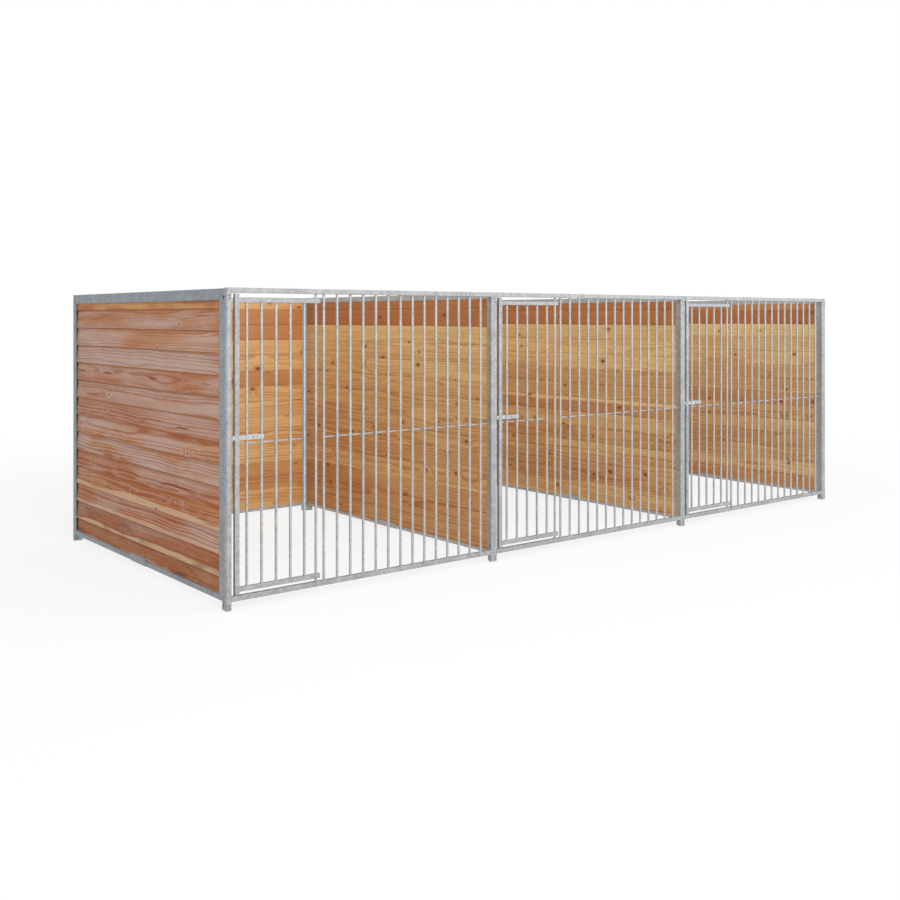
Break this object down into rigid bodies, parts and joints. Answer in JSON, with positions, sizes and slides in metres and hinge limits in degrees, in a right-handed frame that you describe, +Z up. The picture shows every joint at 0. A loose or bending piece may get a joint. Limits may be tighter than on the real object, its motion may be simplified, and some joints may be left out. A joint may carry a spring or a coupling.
{
  "type": "dog kennel",
  "caption": "Run of open-topped dog kennel bays with larch board walls in galvanised frames, barred fronts, hinged barred doors and sliding latch bolts.",
  "frame": {"origin": "middle of the footprint, on the ground", "axes": "+X along the fronts from the first bay to the last, +Y from the fronts to the rear walls, +Z up"},
  "size_m": [6.036, 2.5056, 1.84],
  "materials": {
    "larch": "planed untreated larch",
    "frame_steel": "hot dip galvanised, mottled satin",
    "bar_steel": "hot dip galvanised, satin",
    "latch_steel": "hot dip galvanised, satin",
    "fastener_zinc": "zinc plated"
  },
  "bodies": {
    "kennel_frame": {"left_wall_boards": "larch", "left_wall_posts": "frame_steel", "left_wall_channels": "frame_steel", "divider_1_boards": "larch", "divider_1_posts": "frame_steel", "divider_1_channels": "frame_steel", "divider_2_boards": "larch", "divider_2_posts": "frame_steel", "divider_2_channels": "frame_steel", "right_wall_boards": "larch", "right_wall_posts": "frame_steel", "right_wall_channels": "frame_steel", "rear_wall_1_boards": "larch", "rear_wall_1_posts": "frame_steel", "rear_wall_1_channels": "frame_steel", "rear_wall_2_boards": "larch", "rear_wall_2_posts": "frame_steel", "rear_wall_2_channels": "frame_steel", "rear_wall_3_boards": "larch", "rear_wall_3_posts": "frame_steel", "rear_wall_3_channels": "frame_steel", "wall_saddles": "frame_steel", "front_post_1": "frame_steel", "front_post_2": "frame_steel", "front_post_3": "frame_steel", "front_post_4": "frame_steel", "front_1_top_rail": "frame_steel", "front_1_bottom_rail": "frame_steel", "front_1_end_stile": "frame_steel", "front_1_bars": "bar_steel", "front_1_hinge_bar": "bar_steel", "front_2_top_rail": "frame_steel", "front_2_bottom_rail": "frame_steel", "front_2_end_stile": "frame_steel", "front_2_bars": "bar_steel", "front_2_hinge_bar": "bar_steel", "front_3_top_rail": "frame_steel", "front_3_bottom_rail": "frame_steel", "front_3_end_stile": "frame_steel", "front_3_bars": "bar_steel", "front_3_hinge_bar": "bar_steel", "post_screws": "fastener_zinc", "link_bolts": "fastener_zinc", "corner_bolts": "fastener_zinc"},
    "door_1": {"door_1_stile": "frame_steel", "door_1_rails": "frame_steel", "door_1_bars": "bar_steel", "door_1_latch_guide": "latch_steel"},
    "latch_1": {"door_1_latch_bolt": "latch_steel"},
    "door_2": {"door_2_stile": "frame_steel", "door_2_rails": "frame_steel", "door_2_bars": "bar_steel", "door_2_latch_guide": "latch_steel"},
    "latch_2": {"door_2_latch_bolt": "latch_steel"},
    "door_3": {"door_3_stile": "frame_steel", "door_3_rails": "frame_steel", "door_3_bars": "bar_steel", "door_3_latch_guide": "latch_steel"},
    "latch_3": {"door_3_latch_bolt": "latch_steel"}
  },
  "joints": [
    {"name": "door_1_hinge", "type": "hinge", "parent": "kennel_frame", "child": "door_1", "pos_m": [-2.421, -1.23425, 0.113], "axis": [0, 0, 1], "range_deg": [-150, 150]},
    {"name": "latch_1_slide", "type": "slide", "parent": "door_1", "child": "latch_1", "axis": [-1, 0, 0], "range_m": [-0.04, 0.02]},
    {"name": "door_2_hinge", "type": "hinge", "parent": "kennel_frame", "child": "door_2", "pos_m": [-0.421, -1.23425, 0.113], "axis": [0, 0, 1], "range_deg": [-150, 150]},
    {"name": "latch_2_slide", "type": "slide", "parent": "door_2", "child": "latch_2", "axis": [-1, 0, 0], "range_m": [-0.04, 0.02]},
    {"name": "door_3_hinge", "type": "hinge", "parent": "kennel_frame", "child": "door_3", "pos_m": [1.579, -1.23425, 0.113], "axis": [0, 0, 1], "range_deg": [-150, 150]},
    {"name": "latch_3_slide", "type": "slide", "parent": "door_3", "child": "latch_3", "axis": [-1, 0, 0], "range_m": [-0.04, 0.02]}
  ]
}
